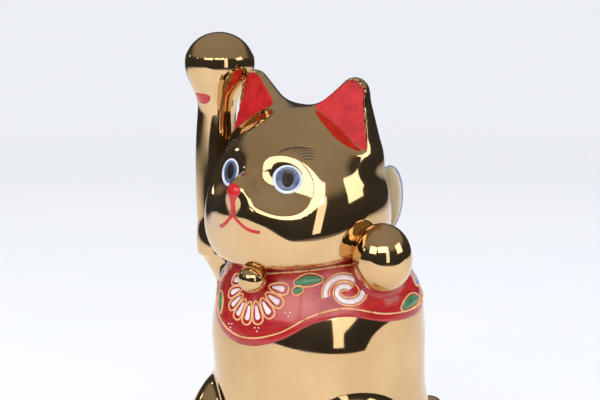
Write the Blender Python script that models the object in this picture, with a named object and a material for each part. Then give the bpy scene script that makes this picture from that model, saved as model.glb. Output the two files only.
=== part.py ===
"""Seated beckoning cat in porcelain: hollow castings under gold lustre, with raised enamels.

Metres, +Z up. The cat faces -Y, its own left side is +X, and its foot rests on Z = 0.
Angles round the body are measured from the front (-Y) towards the cat's left (+X).
"""
import math

import bmesh
import bpy
import numpy as np

# Driving sizes
NECK_TOP = 0.156              # height of the open neck of the body casting
VENT_RADIUS = 0.006           # air hole in the foot
VENT_Y = 0.026
GAP = 0.0004                  # clearance between neighbouring pieces
BIB_THICKNESS = 0.0009        # red enamel of the bib
LINE_WIDTH = 0.0011           # piped enamel lines
LINE_HEIGHT = 0.0006
BIB_LIFT = 2.0 * GAP           # bib enamel above the coarse body surface
MOTIF_LIFT = BIB_LIFT + BIB_THICKNESS + 0.0003
MOTIF_HEIGHT = 0.0007
CLEAR_OF_BIB = MOTIF_LIFT + MOTIF_HEIGHT + GAP
SEAM_ROUNDING = 0.004         # rounding where a limb meets the body
BODY_CELL = 0.0078            # mesh cell of each casting
HEAD_CELL = 0.0042
BIB_MEAN_RADIUS = 0.050
ARM_LOW = 0.142               # heights between which the raised forearm runs
ARM_HIGH = 0.222
BOW_HEIGHT = 0.1350           # centre of the bow's knot
BELL_CENTRE = (0.0, -0.0572, 0.1380)
BELL_RADIUS = 0.0073
EAR_RIM = 0.0020              # wall left round the hollow of an ear
EAR_CLEAR = 0.0009            # red plate above that floor
EAR_ENAMEL = 0.0008           # thickness of the red plate
EAR_FLOOR = -0.0205           # the hollow's flat floor, at the middle of the ear

# Heights of the bib's edges at angles from its middle, which sits a little to the cat's right
BIB_MIDDLE = -5.0
EDGE_ANGLES = (0, 22, 38, 55, 80, 105, 130, 155, 180)
LOW_EDGE = (0.1025, 0.1075, 0.1160, 0.1197, 0.1158, 0.1160, 0.1210, 0.1280, 0.1310)
TOP_EDGE = (0.1390, 0.1410, 0.1425, 0.1430, 0.1430, 0.1430, 0.1430, 0.1420, 0.1415)

# Colours: base colour, roughness, metallic
FINISHES = {
    "gold_lustre": ((0.80, 0.58, 0.30), 0.08, 1.0),
    "red_enamel": ((0.55, 0.02, 0.02), 0.20, 0.0),
    "outline_enamel": ((0.90, 0.55, 0.28), 0.30, 0.0),
    "white_enamel": ((0.88, 0.80, 0.80), 0.25, 0.0),
    "green_enamel": ((0.06, 0.22, 0.10), 0.25, 0.0),
    "blue_enamel": ((0.20, 0.28, 0.60), 0.25, 0.0),
    "iris_enamel": ((0.45, 0.52, 0.62), 0.20, 0.0),
    "black_enamel": ((0.02, 0.02, 0.03), 0.15, 0.0),
    "cream_enamel": ((0.85, 0.80, 0.62), 0.30, 0.0),
}

# Edges of the red inside an ear, from its foot to its tip: x and z
EAR_INNER = ((0.0215, 0.2200), (0.0222, 0.2240), (0.0245, 0.2275), (0.0275, 0.2305), (0.0310, 0.2330))
EAR_OUTER = ((0.0380, 0.2095), (0.0372, 0.2150), (0.0368, 0.2210), (0.0360, 0.2270), (0.0342, 0.2330))


# ---- Shape fields: signed distances, negative inside ----

def ellipsoid(p, centre, radii):
    q = p - np.array(centre)
    r = np.array(radii)
    k0 = np.linalg.norm(q / r, axis=-1)
    k1 = np.linalg.norm(q / r ** 2, axis=-1)
    return k0 * (k0 - 1.0) / np.maximum(k1, 1e-9)


def limb(p, start, end, r_start, r_end):
    """Round cone from start to end."""
    start = np.array(start, float)
    axis = np.array(end, float) - start
    length2 = axis @ axis
    taper = r_start - r_end
    slope2 = length2 - taper * taper
    offset = p - start
    y = offset @ axis
    z = y - length2
    x2 = ((offset * length2 - y[..., None] * axis) ** 2).sum(-1)
    y2 = y * y * length2
    z2 = z * z * length2
    k = np.sign(taper) * taper * taper * x2
    side = (np.sqrt(x2 * slope2 / length2) + y * taper) / length2 - r_start
    far = np.sqrt(x2 + z2) / length2 - r_end
    near = np.sqrt(x2 + y2) / length2 - r_start
    d = np.where(np.sign(z) * slope2 * z2 > k, far, side)
    return np.where(np.sign(y) * slope2 * y2 < k, near, d)


def blend(a, b, k):
    """Smooth union with a fillet of about k."""
    h = np.clip(0.5 + 0.5 * (b - a) / k, 0.0, 1.0)
    return b * (1.0 - h) + a * h - k * h * (1.0 - h)


def carve(a, b, k):
    """Smooth difference: a without b."""
    return -blend(-a, b, k)


def mirrored(p):
    return np.stack([np.abs(p[..., 0]), p[..., 1], p[..., 2]], -1)


def torso(p):
    m = mirrored(p)
    f = limb(p, (0, 0.003, 0.045), (0, 0, 0.098), 0.0565, 0.0560)
    f = blend(f, limb(p, (0, 0, 0.108), (0, -0.006, 0.150), 0.048, 0.034), 0.016)
    f = blend(f, ellipsoid(m, (0.034, 0, 0.120), (0.022, 0.026, 0.021)), 0.012)
    f = blend(f, ellipsoid(p, (0, 0.010, 0.026), (0.059, 0.058, 0.044)), 0.020)
    f = blend(f, ellipsoid(m, (0.0375, -0.015, 0.036), (0.0265, 0.043, 0.0465)), 0.004)
    foot = limb(m, (0.027, -0.040, 0.014), (0.029, -0.060, 0.0125), 0.0165, 0.0140)
    return blend(f, foot, 0.004)


def ear_shape(m):
    f = limb(m, (0.0255, -0.012, 0.198), (0.0330, -0.013, 0.2305), 0.0195, 0.0065)
    return blend(f, limb(m, (0.0128, -0.0160, 0.2062), (0.0322, -0.013, 0.2305), 0.0135, 0.0065), 0.004)


def ear_floor(x, z):
    """The y of the flat floor of the hollow in an ear, for the ear on the +X side."""
    return EAR_FLOOR + 0.22 * (z - 0.205) + 0.25 * (x - 0.030)


def head(p):
    m = mirrored(p)
    f = ellipsoid(p, (0, -0.016, 0.182), (0.0430, 0.040, 0.0400))
    f = blend(f, ellipsoid(m, (0.019, -0.019, 0.1640), (0.0285, 0.036, 0.0310)), 0.016)
    f = blend(f, ellipsoid(p, (0, -0.037, 0.1580), (0.0330, 0.027, 0.0215)), 0.014)
    f = blend(f, ellipsoid(p, (0, 0.0035, 0.1600), (0.0345, 0.0365, 0.0300)), 0.012)
    under = 0.1472 + 0.06 * m[..., 0] + 0.11 * np.minimum(m[..., 1], -0.015)
    under = under - 0.35 * np.maximum(m[..., 1] + 0.010, 0.0)
    f = -blend(-f, p[..., 2] - under, 0.005)
    f = blend(f, ellipsoid(p, (0, -0.053, 0.172), (0.0185, 0.0165, 0.0160)), 0.012)
    skull = blend(f, ellipsoid(p, (0, -0.063, 0.184), (0.0060, 0.0070, 0.0060)), 0.008)
    f = blend(skull, ear_shape(m), 0.008)
    level = np.stack([m[..., 0], np.full(m.shape[:-1], -0.013), m[..., 2]], -1)
    dish = -blend(-ear_shape(level) - EAR_RIM, ear_floor(m[..., 0], m[..., 2]) - m[..., 1], 0.003)
    dish = -blend(-dish, skull - 0.0004, 0.003)
    f = carve(f, dish, 0.003)
    return carve(f, ellipsoid(m, (0.0255, -0.0610, 0.190), (0.017, 0.0115, 0.0125)), 0.008)


def raised_arm(p):
    t = np.clip((p[..., 2] - ARM_LOW) / (ARM_HIGH - ARM_LOW), -0.2, 1.2)
    across = p[..., 0] + 0.0560 + 0.0193 * t - 0.0163 * t * t
    along = p[..., 1] + 0.0080 + 0.0040 * t
    f = np.hypot(across, along) - (0.0158 - 0.0100 * t + 0.0044 * t * t)
    f = np.maximum(f, np.maximum(ARM_LOW - 0.004 - p[..., 2], p[..., 2] - ARM_HIGH - 0.014))
    f = blend(f, limb(p, (-0.038, -0.001, 0.118), (-0.0560, -0.008, 0.142), 0.0190, 0.0158), 0.006)
    return blend(f, ellipsoid(p, (-0.0570, -0.013, 0.240), (0.0185, 0.0180, 0.0165)), 0.012)


def left_arm(p):
    f = limb(p, (0.038, 0.000, 0.134), (0.0545, -0.017, 0.1450), 0.0115, 0.0115)
    return blend(f, ellipsoid(p, (0.0562, -0.0215, 0.1498), (0.0150, 0.0150, 0.0175)), 0.005)


def tail(p):
    f = limb(p, (0.006, 0.066, 0.011), (0.026, 0.068, 0.014), 0.010, 0.010)
    f = blend(f, limb(p, (0.026, 0.068, 0.014), (0.036, 0.062, 0.030), 0.010, 0.009), 0.004)
    return blend(f, limb(p, (0.036, 0.062, 0.030), (0.030, 0.063, 0.046), 0.009, 0.008), 0.004)


def raised_arm_clear(p):
    rest = np.minimum(torso(p) - CLEAR_OF_BIB, head(p) - GAP)
    return carve(raised_arm(p), rest, SEAM_ROUNDING)


def left_arm_clear(p):
    rest = np.minimum(torso(p) - CLEAR_OF_BIB, head(p) - GAP)
    return carve(left_arm(p), rest, SEAM_ROUNDING)


def tail_clear(p):
    return carve(np.maximum(tail(p), 0.001 - p[..., 2]), torso(p) - GAP, SEAM_ROUNDING)


# ---- Meshes ----

def gradient(field, p, h=2e-5):
    steps = h * np.eye(3)
    g = np.stack([field(p + s) - field(p - s) for s in steps], -1) / (2.0 * h)
    return g


def settle(field, p, level=0.0, rounds=12):
    """Move points along the gradient until field(p) = level."""
    p = np.array(p, float)
    for _ in range(rounds):
        g = gradient(field, p)
        scale = (field(p) - level) / np.maximum((g * g).sum(-1), 0.05)
        p -= np.clip(scale, -0.004, 0.004)[..., None] * g
    return p


def normals(field, p):
    g = gradient(field, p)
    return g / np.linalg.norm(g, axis=-1, keepdims=True)


def surface_net(field, low, high, cell):
    """Closed quad mesh of field = 0, with one vertex in each grid cell that the surface crosses."""
    axes = [np.arange(a, b + cell, cell) for a, b in zip(low, high)]
    grid = np.stack(np.meshgrid(*axes, indexing="ij"), -1)
    value = field(grid)
    inside = value < 0.0
    nx, ny, nz = value.shape
    corners = [(i, j, k) for i in (0, 1) for j in (0, 1) for k in (0, 1)]

    def corner(array, c):
        return array[c[0]:nx - 1 + c[0], c[1]:ny - 1 + c[1], c[2]:nz - 1 + c[2]]

    count = sum(corner(inside, c).astype(int) for c in corners)
    active = (count > 0) & (count < 8)
    total = np.zeros(active.shape + (3,))
    hits = np.zeros(active.shape)
    for a in corners:
        for b in corners:
            if a < b and sum(abs(x - y) for x, y in zip(a, b)) == 1:
                va, vb = corner(value, a), corner(value, b)
                cross = (va < 0.0) != (vb < 0.0)
                t = np.where(cross, va / np.where(cross, va - vb, 1.0), 0.0)[..., None]
                point = corner(grid, a) * (1.0 - t) + corner(grid, b) * t
                total += np.where(cross[..., None], point, 0.0)
                hits += cross
    index = np.full(active.shape, -1)
    index[active] = np.arange(active.sum())
    points = settle(field, total[active] / hits[active][:, None], rounds=4)
    faces = []
    for axis in range(3):
        u, v = (axis + 1) % 3, (axis + 2) % 3
        first = np.take(inside, range(value.shape[axis] - 1), axis=axis)
        second = np.take(inside, range(1, value.shape[axis]), axis=axis)
        for cell_at in np.argwhere(first != second):
            ring = []
            for du, dv in ((-1, -1), (0, -1), (0, 0), (-1, 0)):
                at = cell_at.copy()
                at[u] += du
                at[v] += dv
                ring.append(int(index[tuple(at)]))
            leaving = first[tuple(cell_at)]
            faces.append(ring if leaving else ring[::-1])
    return points, faces


def add_object(name, points, faces, finish, smooth=True):
    mesh = bpy.data.meshes.new(name)
    mesh.from_pydata([tuple(map(float, p)) for p in points], [], [tuple(f) for f in faces])
    mesh.materials.append(material(finish))
    for polygon in mesh.polygons:
        polygon.use_smooth = smooth
    mesh.update()
    obj = bpy.data.objects.new(name, mesh)
    bpy.context.scene.collection.objects.link(obj)
    return obj


def material(finish):
    if finish in bpy.data.materials:
        return bpy.data.materials[finish]
    colour, roughness, metallic = FINISHES[finish]
    mat = bpy.data.materials.new(finish)
    mat.use_nodes = True
    mat.diffuse_color = colour + (1.0,)
    shader = mat.node_tree.nodes["Principled BSDF"]
    shader.inputs["Base Color"].default_value = colour + (1.0,)
    shader.inputs["Roughness"].default_value = roughness
    shader.inputs["Metallic"].default_value = metallic
    return mat


def trim(obj, height, keep_above):
    """Cut the mesh at a level plane and close it with a flat face."""
    bm = bmesh.new()
    bm.from_mesh(obj.data)
    parts = bm.verts[:] + bm.edges[:] + bm.faces[:]
    cut = bmesh.ops.bisect_plane(bm, geom=parts, dist=1e-6, plane_co=(0, 0, height), plane_no=(0, 0, 1),
                                 clear_inner=keep_above, clear_outer=not keep_above)
    rim = [e for e in cut["geom_cut"] if isinstance(e, bmesh.types.BMEdge)]
    bmesh.ops.holes_fill(bm, edges=rim)
    bmesh.ops.recalc_face_normals(bm, faces=bm.faces[:])
    bm.to_mesh(obj.data)
    bm.free()


def lathe(profile, segments, centre=(0.0, 0.0)):
    """Closed surface of revolution about a vertical axis; the profile runs bottom to top."""
    points = [(centre[0], centre[1], profile[0][1])]
    for radius, height in profile[1:-1]:
        for i in range(segments):
            a = 2.0 * math.pi * i / segments
            points.append((centre[0] + radius * math.cos(a), centre[1] + radius * math.sin(a), height))
    points.append((centre[0], centre[1], profile[-1][1]))
    faces = []
    rings = len(profile) - 2
    last = len(points) - 1
    for i in range(segments):
        j = (i + 1) % segments
        faces.append((0, 1 + j, 1 + i))
        for r in range(rings - 1):
            low, high = 1 + r * segments, 1 + (r + 1) * segments
            faces.append((low + i, low + j, high + j, high + i))
        top = 1 + (rings - 1) * segments
        faces.append((top + i, top + j, last))
    return points, faces


def dome(centre, radii, rings, segments):
    """Ellipsoid as a lathe, stretched to three radii."""
    profile = []
    for i in range(rings + 1):
        a = math.pi * i / rings
        profile.append((math.sin(a), -math.cos(a)))
    points, faces = lathe(profile, segments)
    points = np.array(points) * np.array(radii) + np.array(centre)
    return points, faces


def cut_with(obj, cutter):
    cutter.hide_render = True
    cutter.display_type = "WIRE"
    boolean = obj.modifiers.new("cut_" + cutter.name, "BOOLEAN")
    boolean.operation = "DIFFERENCE"
    boolean.solver = "EXACT"
    boolean.object = cutter


def shell_faces(stations, across, loop):
    """Faces of a closed strip made of a top grid followed by a bottom grid."""
    faces = []
    size = stations * across
    last = stations if loop else stations - 1
    for i in range(last):
        a, b = i * across, ((i + 1) % stations) * across
        for j in range(across - 1):
            faces.append((a + j, b + j, b + j + 1, a + j + 1))
            faces.append((size + a + j + 1, size + b + j + 1, size + b + j, size + a + j))
        faces.append((a, size + a, size + b, b))
        end = across - 1
        faces.append((b + end, size + b + end, size + a + end, a + end))
    if not loop:
        for i, flip in ((0, False), (stations - 1, True)):
            a = i * across
            for j in range(across - 1):
                face = (a + j, a + j + 1, size + a + j + 1, size + a + j)
                faces.append(face[::-1] if flip else face)
    return faces


def relief(name, field, rows, lift, height, finish, loop=False, crown=0.45):
    """Raised layer of enamel over a strip of surface points; crown is the edge's share of the height."""
    rows = np.array(rows, float)
    stations, across = rows.shape[:2]
    base = settle(field, rows, lift)
    out = normals(field, base)
    t = np.linspace(-1.0, 1.0, across)
    share = crown + (1.0 - crown) * (1.0 - t ** 2)
    top = base + out * (height * share)[None, :, None]
    points = np.concatenate([top.reshape(-1, 3), base.reshape(-1, 3)])
    obj = add_object(name, points, shell_faces(stations, across, loop), finish)
    bm = bmesh.new()
    bm.from_mesh(obj.data)
    bmesh.ops.recalc_face_normals(bm, faces=bm.faces[:])
    bm.to_mesh(obj.data)
    bm.free()
    return obj


def edge_height(angle, heights):
    """Height of a bib edge at an angle in degrees, smooth and the same on both sides."""
    a = np.abs((np.asarray(angle, float) - BIB_MIDDLE + 180.0) % 360.0 - 180.0)
    i = np.clip(np.searchsorted(EDGE_ANGLES, a, side="right") - 1, 0, len(EDGE_ANGLES) - 2)
    x = np.array(EDGE_ANGLES, float)
    y = np.array(heights)
    slope = np.gradient(y, x)
    slope[0] = slope[-1] = 0.0
    h = x[i + 1] - x[i]
    t = (a - x[i]) / h
    rise = (2 * t ** 3 - 3 * t ** 2 + 1) * y[i] + (3 * t ** 2 - 2 * t ** 3) * y[i + 1]
    return rise + h * ((t ** 3 - 2 * t ** 2 + t) * slope[i] + (t ** 3 - t ** 2) * slope[i + 1])


def chest(angle, height, level=0.0):
    """Point of the body surface at an angle (degrees) and height, found along a level ray."""
    angle, height = np.broadcast_arrays(np.radians(angle), np.asarray(height, float))
    radius = np.full(angle.shape, BIB_MEAN_RADIUS)
    for _ in range(30):
        p = np.stack([radius * np.sin(angle), -radius * np.cos(angle), height], -1)
        radius = radius - 0.8 * (torso(p) - level)
    return np.stack([radius * np.sin(angle), -radius * np.cos(angle), height], -1)


def chest_strip(centre, path, half_widths, across=3, loop=False):
    """Strip on the bib: path points (u, v) in metres about centre (angle, height)."""
    path = np.array(path, float)
    if loop:
        ahead = np.roll(path, -1, axis=0) - np.roll(path, 1, axis=0)
    else:
        ahead = np.gradient(path, axis=0)
    ahead /= np.linalg.norm(ahead, axis=1, keepdims=True)
    side = np.stack([-ahead[:, 1], ahead[:, 0]], -1)
    t = np.linspace(1.0, -1.0, across)
    widths = np.broadcast_to(half_widths, len(path))
    uv = path[:, None, :] + side[:, None, :] * (t[None, :] * widths[:, None])[..., None]
    angle = centre[0] + np.degrees(uv[..., 0] / BIB_MEAN_RADIUS)
    return chest(angle, centre[1] + uv[..., 1])


def leaf_widths(count, half_width, blunt=0.12):
    t = np.linspace(0.0, 1.0, count)
    return half_width * np.maximum(np.sin(math.pi * t) ** 0.7, blunt)


def line_between(start, end, count, bow=0.0):
    t = np.linspace(0.0, 1.0, count)[:, None]
    start, end = np.array(start), np.array(end)
    across = np.array([start[1] - end[1], end[0] - start[0]])
    return start * (1 - t) + end * t + bow * across * np.sin(math.pi * t)


def bib_relief(name, strip, height, finish, loop=False):
    return relief(name, torso, strip, MOTIF_LIFT, height, finish, loop=loop)


# ---- The pieces ----

def build_body():
    points, faces = surface_net(torso, (-0.080, -0.090, -0.024), (0.080, 0.080, 0.190), BODY_CELL)
    body = add_object("body_casting", points, faces, "gold_lustre")
    trim(body, 0.0, True)
    trim(body, NECK_TOP, False)
    inner = ((0, 0.005), (0.046, 0.005), (0.051, 0.020), (0.0505, 0.095), (0.042, 0.118),
             (0.033, 0.134), (0.0265, NECK_TOP + 0.006), (0, NECK_TOP + 0.006))
    points, faces = lathe(inner, 24)
    cut_with(body, add_object("body_hollow", points, faces, "gold_lustre"))
    hole = ((0, -0.004), (VENT_RADIUS, -0.004), (VENT_RADIUS, 0.009), (0, 0.009))
    points, faces = lathe(hole, 16, (0.0, VENT_Y))
    cut_with(body, add_object("vent_hollow", points, faces, "gold_lustre"))


def build_head():
    points, faces = surface_net(head, (-0.060, -0.085, 0.125), (0.060, 0.050, 0.245), HEAD_CELL)
    casting = add_object("head_casting", points, faces, "gold_lustre")

    def socket(p):
        z = p[..., 2]
        return np.maximum(torso(p) - CLEAR_OF_BIB, np.maximum(0.110 - z, z - NECK_TOP - 0.004))

    points, faces = surface_net(socket, (-0.066, -0.066, 0.100), (0.066, 0.066, 0.170), HEAD_CELL)
    cut_with(casting, add_object("neck_socket", points, faces, "gold_lustre"))
    points, faces = dome((0, -0.0145, 0.180), (0.0370, 0.0340, 0.0340), 8, 20)
    cut_with(casting, add_object("head_hollow", points, faces, "gold_lustre"))
    points, faces = dome(BELL_CENTRE, (BELL_RADIUS + 0.0006,) * 3, 10, 24)
    cut_with(casting, add_object("bell_seat", points, faces, "gold_lustre"))


def build_limbs():
    for name, field, cell, low, high in (
            ("raised_arm_casting", raised_arm_clear, 0.0048, (-0.086, -0.040, 0.090), (-0.018, 0.026, 0.266)),
            ("left_arm_casting", left_arm_clear, 0.0048, (0.022, -0.044, 0.096), (0.080, 0.022, 0.176)),
            ("tail_casting", tail_clear, 0.0048, (-0.010, 0.044, -0.006), (0.056, 0.086, 0.064))):
        points, faces = surface_net(field, low, high, cell)
        add_object(name, points, faces, "gold_lustre")


def build_bow():
    """Bow behind the neck: a knot, two loops leaning on the head and two ribbon ends on the back."""
    knot = np.array((0.0065, 0.0050, 0.0060))
    neck = chest(180.0, BOW_HEIGHT - knot[2])[1] + MOTIF_LIFT + GAP
    points, faces = dome((0, neck + knot[1], BOW_HEIGHT), knot, 8, 14)
    add_object("bow_knot", points, faces, "cream_enamel")
    lean, tilt = math.radians(24.0), math.radians(-22.0)
    turn = np.array([[math.cos(tilt), 0, -math.sin(tilt)], [0, 1, 0], [math.sin(tilt), 0, math.cos(tilt)]])
    tip = np.array([[1, 0, 0], [0, math.cos(lean), -math.sin(lean)], [0, math.sin(lean), math.cos(lean)]])
    for side, label in ((1, "left"), (-1, "right")):
        points, faces = dome((0, 0, 0), (0.0085, 0.0038, 0.0230), 10, 12)
        points = points @ turn.T @ tip.T + np.array((0.0138, neck - 0.0066, BOW_HEIGHT + 0.0300))
        points[:, 0] *= side
        if side < 0:
            faces = [f[::-1] for f in faces]
        add_object("bow_loop_" + label, points, faces, "cream_enamel")
        rows = []
        for t in np.linspace(0.0, 1.0, 8):
            middle = 180.0 - side * (13.0 + 14.0 * t)
            half = math.degrees((0.0030 + 0.0030 * t) / BIB_MEAN_RADIUS)
            rows.append(chest(middle + half * np.linspace(-1.0, 1.0, 4), BOW_HEIGHT - 0.0045 - 0.034 * t))
        relief("bow_tail_" + label, torso, rows, MOTIF_LIFT, 0.0016, "cream_enamel")


def build_bell():
    points, faces = dome(BELL_CENTRE, (BELL_RADIUS,) * 3, 10, 18)
    add_object("bell", points, faces, "gold_lustre")


def build_bib():
    angles = np.arange(0, 360, 360 / 54)
    low = edge_height(angles, LOW_EDGE)
    top = edge_height(angles, TOP_EDGE)
    t = np.linspace(1.0, 0.0, 5)
    rows = chest(angles[:, None], low[:, None] + (top - low)[:, None] * t[None, :])
    relief("bib_enamel", torso, rows, BIB_LIFT, BIB_THICKNESS, "red_enamel", loop=True, crown=0.9)
    for name, edge, shift in (("bib_upper_line", TOP_EDGE, -0.0024), ("bib_lower_line", LOW_EDGE, 0.0040)):
        height = edge_height(angles, edge) + shift
        half = 0.5 * LINE_WIDTH
        rows = chest(angles[:, None], height[:, None] + np.array([[half, -half]]))
        bib_relief(name, rows, LINE_HEIGHT, "outline_enamel", loop=True)


def build_chrysanthemum():
    """Nine petals fanned under the bell, each a piped outline round a white stroke."""
    centre = (-2.5, 0.1335)
    inner, outer = 0.0092, 0.0205
    for n in range(9):
        a = math.radians(-86.0 + 21.5 * n)
        away = np.array([math.sin(a), -math.cos(a)])
        side = np.array([away[1], -away[0]])
        t = np.arange(14) / 14.0 * 2.0 * math.pi
        reach = 0.5 * (inner + outer) - 0.5 * (outer - inner) * np.cos(t)
        half = 0.0021 * np.sin(t) * (reach / outer + 0.25)
        loop = reach[:, None] * away + half[:, None] * side
        bib_relief("petal_outline_%d" % (n + 1), chest_strip(centre, loop, 0.0004, 2, True),
                   LINE_HEIGHT, "outline_enamel", loop=True)
        path = line_between(away * (inner + 0.0022), away * (outer - 0.0026), 6)
        bib_relief("petal_white_%d" % (n + 1), chest_strip(centre, path, leaf_widths(6, 0.0009, 0.4)),
                   MOTIF_HEIGHT, "white_enamel")


def build_motifs():
    """Swirls, leaves and blossoms of the bib, drawn about (angle, height) centres."""
    turn = np.linspace(0.0, 1.0, 30)
    for label, angle, side in (("left", 54.0, 1.0), ("right", -77.0, -1.0)):
        spiral = 0.0026 + 0.0068 * turn
        a = 2.0 * math.pi * (0.1 + 1.45 * turn)
        path = np.stack([side * spiral * np.cos(a) * 1.2, spiral * np.sin(a) * 0.85], -1)
        bib_relief("swirl_white_%s" % label, chest_strip((angle, 0.1315), path, 0.0009),
                   MOTIF_HEIGHT, "white_enamel")
    for name, centre, start, end, width, bow, finish in (
            ("leaf_by_bell", (31.5, 0.1355), (-0.0080, -0.0010), (0.0075, 0.0010), 0.0022, 0.05, "green_enamel"),
            ("leaf_bud", (30.0, 0.1300), (-0.0030, -0.0010), (0.0030, 0.0010), 0.0016, 0.0, "green_enamel"),
            ("leaf_side_left", (93.0, 0.1215), (-0.0080, -0.0010), (0.0080, 0.0015), 0.0026, 0.1, "green_enamel"),
            ("leaf_front_right", (-36.0, 0.1210), (-0.0050, 0.0050), (0.0045, -0.0040), 0.0022, 0.1, "green_enamel"),
            ("leaf_side_right", (-112.0, 0.1270), (-0.0070, 0.0000), (0.0070, 0.0010), 0.0024, 0.1, "green_enamel")):
        path = line_between(start, end, 9, bow)
        bib_relief(name, chest_strip(centre, path, leaf_widths(9, width)), MOTIF_HEIGHT, finish)
    for label, angle in (("left", 112.0), ("right", -51.0)):
        t = np.arange(30) / 30.0 * 2.0 * math.pi
        radius = 0.0040 + 0.0011 * np.cos(5.0 * t)
        loop = np.stack([radius * np.cos(t), radius * np.sin(t)], -1)
        bib_relief("blossom_blue_%s" % label, chest_strip((angle, 0.1330), loop, 0.0011, 2, True),
                   MOTIF_HEIGHT, "blue_enamel", loop=True)


def disc(name, field, centre, across, up, radii, lift, height, finish, segments=16):
    """Oval drop of enamel, settled on a surface."""
    centre, across, up = (np.array(v, float) for v in (centre, across, up))
    a = 2.0 * math.pi * np.arange(segments) / segments
    rings = [centre + s * (radii[0] * np.cos(a)[:, None] * across + radii[1] * np.sin(a)[:, None] * up)
             for s in (1.0, 0.6)]
    base = settle(field, np.concatenate([rings[0], rings[1], centre[None]]), lift)
    out = normals(field, base)
    share = np.concatenate([np.full(segments, 0.4), np.full(segments, 0.9), [1.0]])
    top = base + out * (height * share)[:, None]
    points = np.concatenate([top, base])
    size = len(base)
    faces = []
    for i in range(segments):
        j = (i + 1) % segments
        k, m = segments + i, segments + j
        faces += [(i, j, m, k), (k, m, 2 * segments)]
        faces += [(size + k, size + m, size + j, size + i), (size + 2 * segments, size + m, size + k)]
        faces.append((size + i, size + j, j, i))
    obj = add_object(name, points, faces, finish)
    bm = bmesh.new()
    bm.from_mesh(obj.data)
    bmesh.ops.recalc_face_normals(bm, faces=bm.faces[:])
    bm.to_mesh(obj.data)
    bm.free()


def build_ear_enamel(side, label):
    """Flat red plate on the floor of an ear's hollow."""
    inner, outer = np.array(EAR_INNER)[:, None], np.array(EAR_OUTER)[:, None]
    share = np.linspace(0.0, 1.0, 5)[None, :, None]
    x, z = np.moveaxis(inner * (1.0 - share) + outer * share, -1, 0)
    back = np.stack([x * side, ear_floor(x, z) - EAR_CLEAR, z], -1).reshape(-1, 3)
    front = back - np.array((0.0, EAR_ENAMEL, 0.0))
    faces = shell_faces(len(EAR_INNER), 5, False)
    obj = add_object("ear_enamel_" + label, np.concatenate([front, back]), faces, "red_enamel")
    bm = bmesh.new()
    bm.from_mesh(obj.data)
    bmesh.ops.recalc_face_normals(bm, faces=bm.faces[:])
    bm.to_mesh(obj.data)
    bm.free()


def build_face():
    for side, label in ((1.0, "left"), (-1.0, "right")):
        centre = np.array((0.0200 * side, -0.0535, 0.1905))
        across = np.array((0.97 * side, 0.25, 0.0))
        up = np.array((0.0, 0.12, 0.99))
        t = np.arange(20) / 20.0 * 2.0 * math.pi
        ring = [centre + r * (np.cos(t)[:, None] * across * 1.08 + np.sin(t)[:, None] * up)
                for r in (0.0076, 0.0064)]
        relief("eye_ring_" + label, head, np.stack(ring, 1), 0.0006, 0.0007, "white_enamel", loop=True)
        disc("eye_iris_" + label, head, centre, across, up, (0.0062, 0.0058), 0.0003, 0.0006, "iris_enamel", 14)
        disc("eye_pupil_" + label, head, centre, across, up, (0.0031, 0.0040), 0.0012, 0.0005, "black_enamel", 12)
        build_ear_enamel(side, label)
    rows = []
    for height, half in ((0.1880, 0.0026), (0.1860, 0.0042), (0.1840, 0.0042), (0.1820, 0.0024),
                         (0.1800, 0.0012), (0.1765, 0.0010), (0.1730, 0.0010)):
        rows.append([(s * half, -0.070, height) for s in (-1.0, 0.0, 1.0)])
    relief("nose_enamel", head, rows, 0.0003, 0.0009, "red_enamel")
    rows = []
    for t in np.linspace(-1.0, 1.0, 13):
        x = 0.0115 * t
        height = 0.1702 - 0.0060 * math.sin(0.5 * math.pi * min(1.0, abs(t) * 1.15))
        rows.append([(x, -0.068 + 0.006 * t * t, height + s) for s in (0.0009, 0.0, -0.0009)])
    relief("mouth_enamel", head, rows, 0.0003, 0.0008, "red_enamel")
    disc("wrist_mark", raised_arm, (-0.0600, -0.0222, 0.2225), (0.95, -0.3, 0.0), (0.0, 0.0, 1.0),
         (0.0062, 0.0038), 0.0003, 0.0007, "red_enamel")


def main():
    for old in list(bpy.data.objects):
        bpy.data.objects.remove(old, do_unlink=True)
    build_body()
    build_head()
    build_limbs()
    build_bow()
    build_bell()
    build_bib()
    build_chrysanthemum()
    build_motifs()
    build_face()


main()
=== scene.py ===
"""Looks of the beckoning cat: fine glazed castings, raised enamels, lustre, floor, light and camera.

Metres, +Z up. The cat faces -Y and its own left side is +X, as in the frame.
Angles round the body are measured from the front (-Y) towards the cat's left (+X).
"""
import math

import bmesh
import bpy
import numpy as np
from mathutils import Matrix, Vector


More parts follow.
